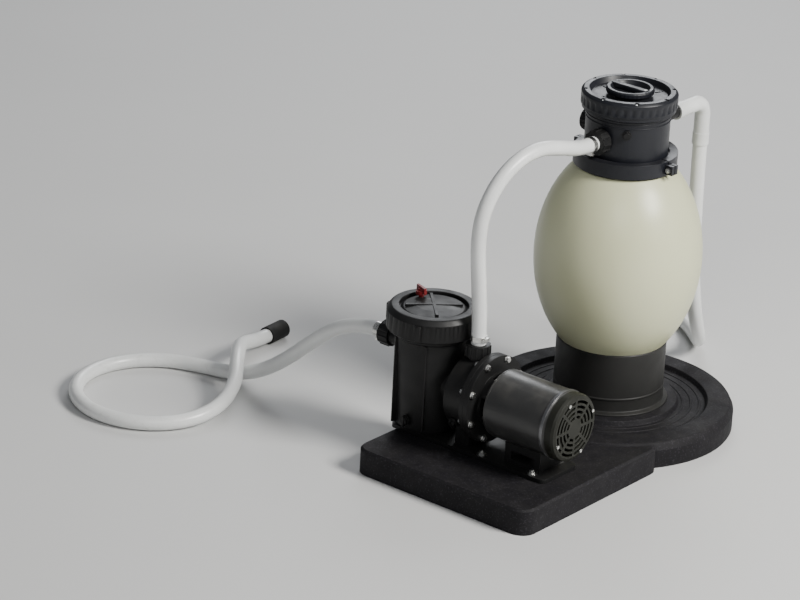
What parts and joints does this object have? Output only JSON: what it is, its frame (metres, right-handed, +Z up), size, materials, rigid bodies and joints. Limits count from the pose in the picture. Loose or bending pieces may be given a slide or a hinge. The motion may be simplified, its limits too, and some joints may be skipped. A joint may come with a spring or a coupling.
{
  "type": "pool pump and sand filter",
  "caption": "Above-ground pool pump with strainer pot on a moulded platform, feeding an egg-shaped sand filter tank with a rotary valve; ribbed union fittings and round hoses.",
  "frame": {"origin": "on the floor, at the middle of the footprint of the pump and the filter without the two free hoses", "axes": "+Z up, +X along the pump's shaft from the strainer to the motor's rear end, +Y from the pump to the filter tank"},
  "size_m": [1.3239, 1.5445, 0.8316],
  "materials": {
    "foot_black": "rough speckled grain",
    "pedestal_grey": "satin",
    "tank_cream": "smooth satin",
    "valve_black": "satin",
    "pump_black": "satin",
    "motor_grey": "satin paint",
    "cap_olive": "matte",
    "steel": "bright zinc",
    "shaft_steel": "ground",
    "core_steel": "laminated",
    "hose_white": "soft gloss",
    "elbow_white": "satin",
    "rubber": "matte",
    "bleed_red": "satin",
    "inner_white": "satin",
    "sand": "granular",
    "dial_white": "matte",
    "lens_clear": "clear"
  },
  "bodies": {
    "set": {"filter_foot": "foot_black", "pump_platform": "foot_black", "tank_pedestal": "pedestal_grey", "tank_drain": "pump_black", "drain_cap": "pump_black", "tank_shell": "tank_cream", "laterals": "inner_white", "standpipe": "inner_white", "sand_bed": "sand", "flange_seal": "rubber", "clamp_half_front": "valve_black", "clamp_half_back": "valve_black", "clamp_bolts": "steel", "valve_body": "valve_black", "valve_cover": "valve_black", "cover_screws": "steel", "cover_seal": "rubber", "spoked_gasket": "rubber", "gauge_case": "pump_black", "gauge_dial": "dial_white", "gauge_lens": "lens_clear", "air_plug": "pump_black", "waste_cap": "pump_black", "pump_housing": "pump_black", "drain_plugs": "pump_black", "seal_plate": "pump_black", "plate_seal": "rubber", "flange_bolts": "steel", "shaft_seal": "rubber", "bearings": "shaft_steel", "motor_stator": "core_steel", "motor_shell": "motor_grey", "motor_end_cap": "cap_olive", "end_cap_screws": "steel", "cable_gland": "pump_black", "pump_foot": "pump_black", "foot_bolts": "steel", "union_nuts": "pump_black", "hose_tails": "pump_black", "hose_bands": "steel", "return_elbow": "elbow_white", "transfer_hose": "hose_white", "suction_hose": "hose_white", "return_hose": "hose_white", "suction_cuff": "rubber", "return_cuff": "rubber"},
    "shaft": {"motor_shaft": "shaft_steel", "impeller": "inner_white", "motor_rotor": "core_steel", "cooling_fan": "pump_black"},
    "selector_rotor": {"valve_rotor": "inner_white", "valve_spring": "steel"},
    "knob": {"selector_knob": "valve_black", "knob_pin": "steel"},
    "lid": {"strainer_lid": "pump_black", "lid_seal": "rubber"},
    "ring": {"lid_ring": "pump_black"},
    "bleed": {"bleed_knob": "bleed_red"},
    "basket": {"strainer_basket": "inner_white"},
    "needle": {"gauge_needle": "pump_black"}
  },
  "joints": [
    {"name": "motor_spin", "type": "hinge", "parent": "set", "child": "shaft", "pos_m": [0, -0.285, 0.19], "axis": [1, 0, 0], "continuous": true},
    {"name": "selector_turn", "type": "hinge", "parent": "set", "child": "selector_rotor", "pos_m": [0.025, 0.17, 0.8], "axis": [0, 0, 1], "continuous": true},
    {"name": "selector_press", "type": "slide", "parent": "selector_rotor", "child": "knob", "axis": [0, 0, -1], "range_m": [0, 0.004], "stiffness_N_per_m": 2000, "springref_m": -0.004},
    {"name": "lid_lift", "type": "slide", "parent": "set", "child": "lid", "axis": [0, 0, 1], "range_m": [0, 0.28]},
    {"name": "lid_ring_turn", "type": "hinge", "parent": "lid", "child": "ring", "pos_m": [-0.155, -0.285, 0.34], "axis": [0, 0, 1], "range_deg": [0, 90]},
    {"name": "bleed_turn", "type": "hinge", "parent": "lid", "child": "bleed", "pos_m": [-0.2095, -0.26516, 0.37], "axis": [0, 0, 1], "range_deg": [0, 360]},
    {"name": "basket_lift", "type": "slide", "parent": "set", "child": "basket", "axis": [0, 0, 1], "range_m": [0, 0.2]},
    {"name": "gauge_needle", "type": "hinge", "parent": "set", "child": "needle", "pos_m": [-0.0584, 0.2534, 0.745], "axis": [0.7071, -0.7071, 0], "range_deg": [0, 270], "stiffness_Nm_per_rad": 0.001}
  ],
  "couplings": [
    {"joint": "basket_lift", "follows": "lid_lift", "ratio": 0.7}
  ]
}
